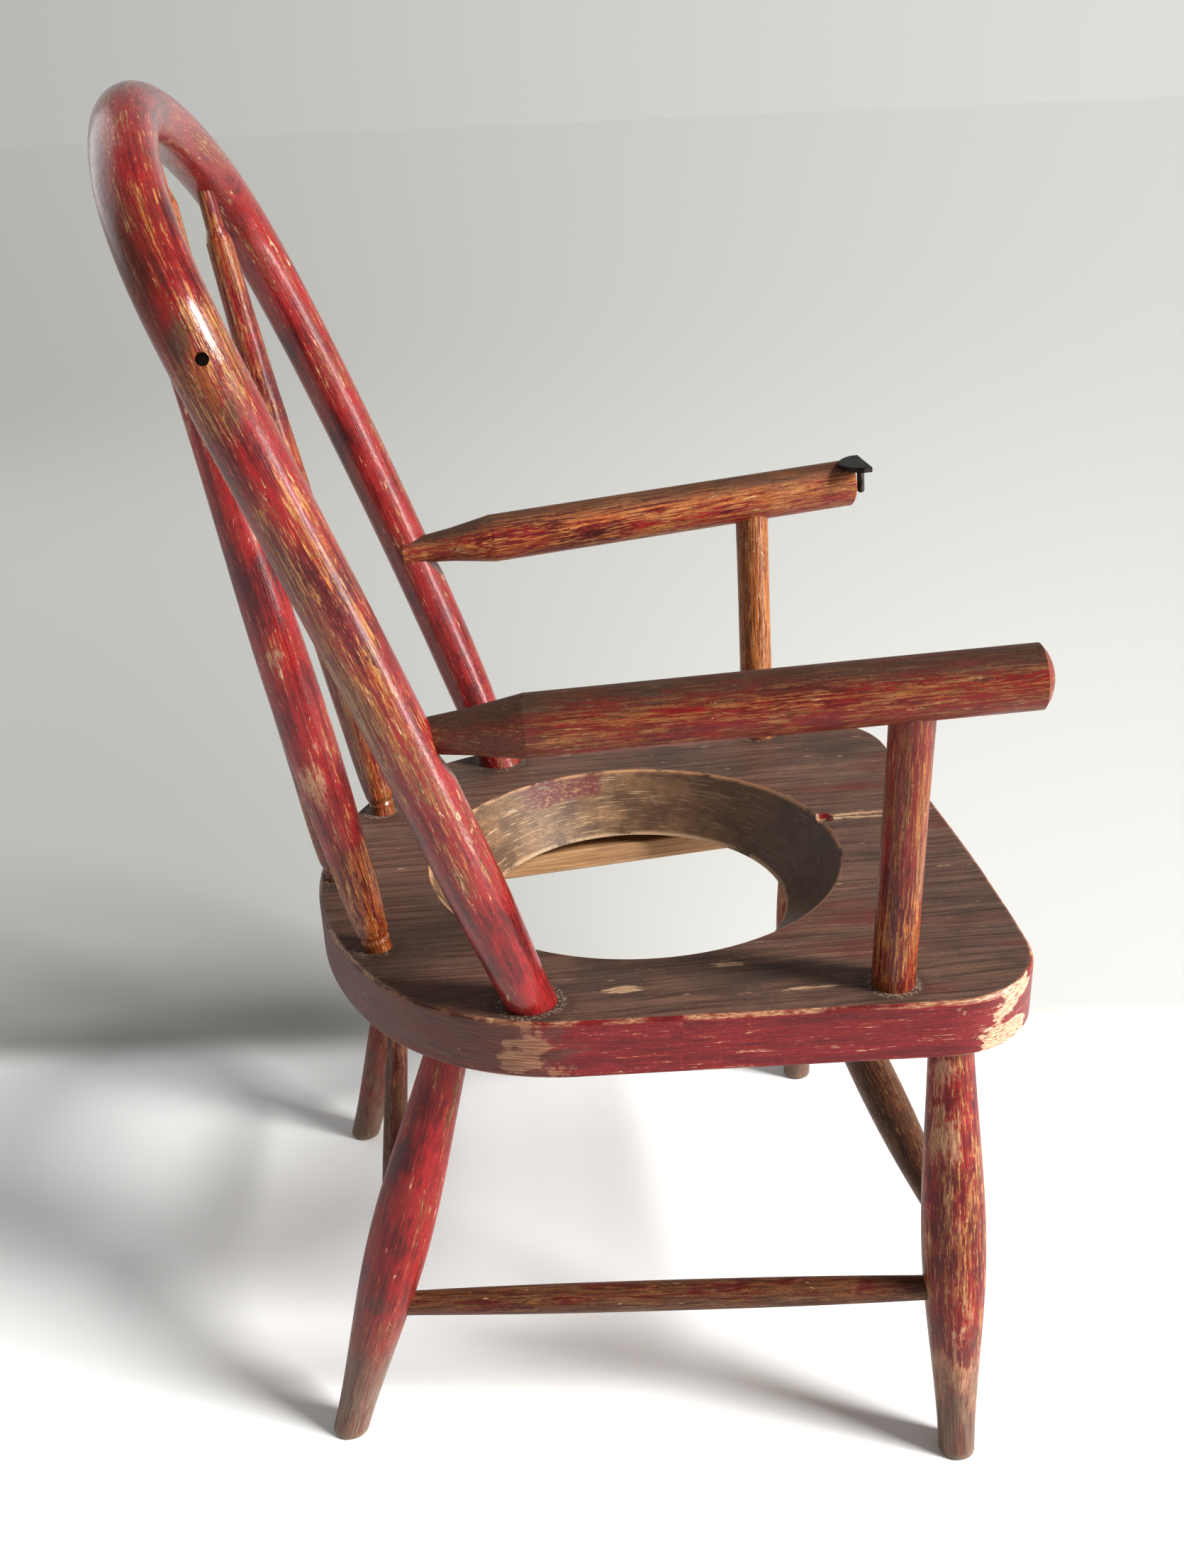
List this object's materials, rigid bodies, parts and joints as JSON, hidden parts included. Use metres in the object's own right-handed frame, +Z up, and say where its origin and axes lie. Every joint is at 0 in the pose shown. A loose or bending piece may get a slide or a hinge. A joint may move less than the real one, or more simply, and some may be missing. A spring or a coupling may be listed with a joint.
{
  "type": "child potty chair",
  "caption": "Child's wooden potty armchair with a bent bow back, turned spindles, round arms, splayed legs and a tapered round opening through the seat.",
  "frame": {"origin": "on the floor, at the middle of the overall box", "axes": "+Z up, -Y to the front where the sitter faces, +X to the sitter's left"},
  "size_m": [0.3322, 0.3488, 0.5718],
  "materials": {
    "seat_board": "worn dull red-brown paint with grime on the top face, rubbed through at the edges",
    "bow_paint": "worn crimson paint over orange-brown wood, glossy old varnish",
    "spindle_paint": "worn crimson paint over orange-brown wood, glossy",
    "arm_paint": "red paint rubbed through along the grain to tan wood",
    "post_paint": "red paint darkened by grime, chipped",
    "leg_paint": "red paint fading to bare grey-tan wood at the feet",
    "stretcher_paint": "rubbed red paint over brown wood",
    "bare_wood": "unpainted, dry and dusty",
    "dark_iron": "hand-forged iron, blackened and worn satin",
    "screw_steel": "dull rusted iron"
  },
  "bodies": {
    "root": {"arm_left": "arm_paint", "arm_post_left": "post_paint", "arm_post_right": "post_paint", "arm_right": "arm_paint", "back_bow": "bow_paint", "bar_keeper": "dark_iron", "leg_back_left": "leg_paint", "leg_back_right": "leg_paint", "leg_front_left": "leg_paint", "leg_front_right": "leg_paint", "pot_runner_left": "bare_wood", "pot_runner_right": "bare_wood", "runner_screws": "screw_steel", "seat_plank_left": "seat_board", "seat_plank_right": "seat_board", "spindle_centre": "spindle_paint", "spindle_left": "spindle_paint", "spindle_right": "spindle_paint", "stretcher_back": "stretcher_paint", "stretcher_front": "stretcher_paint", "stretcher_left": "stretcher_paint", "stretcher_right": "stretcher_paint"}
  },
  "joints": []
}
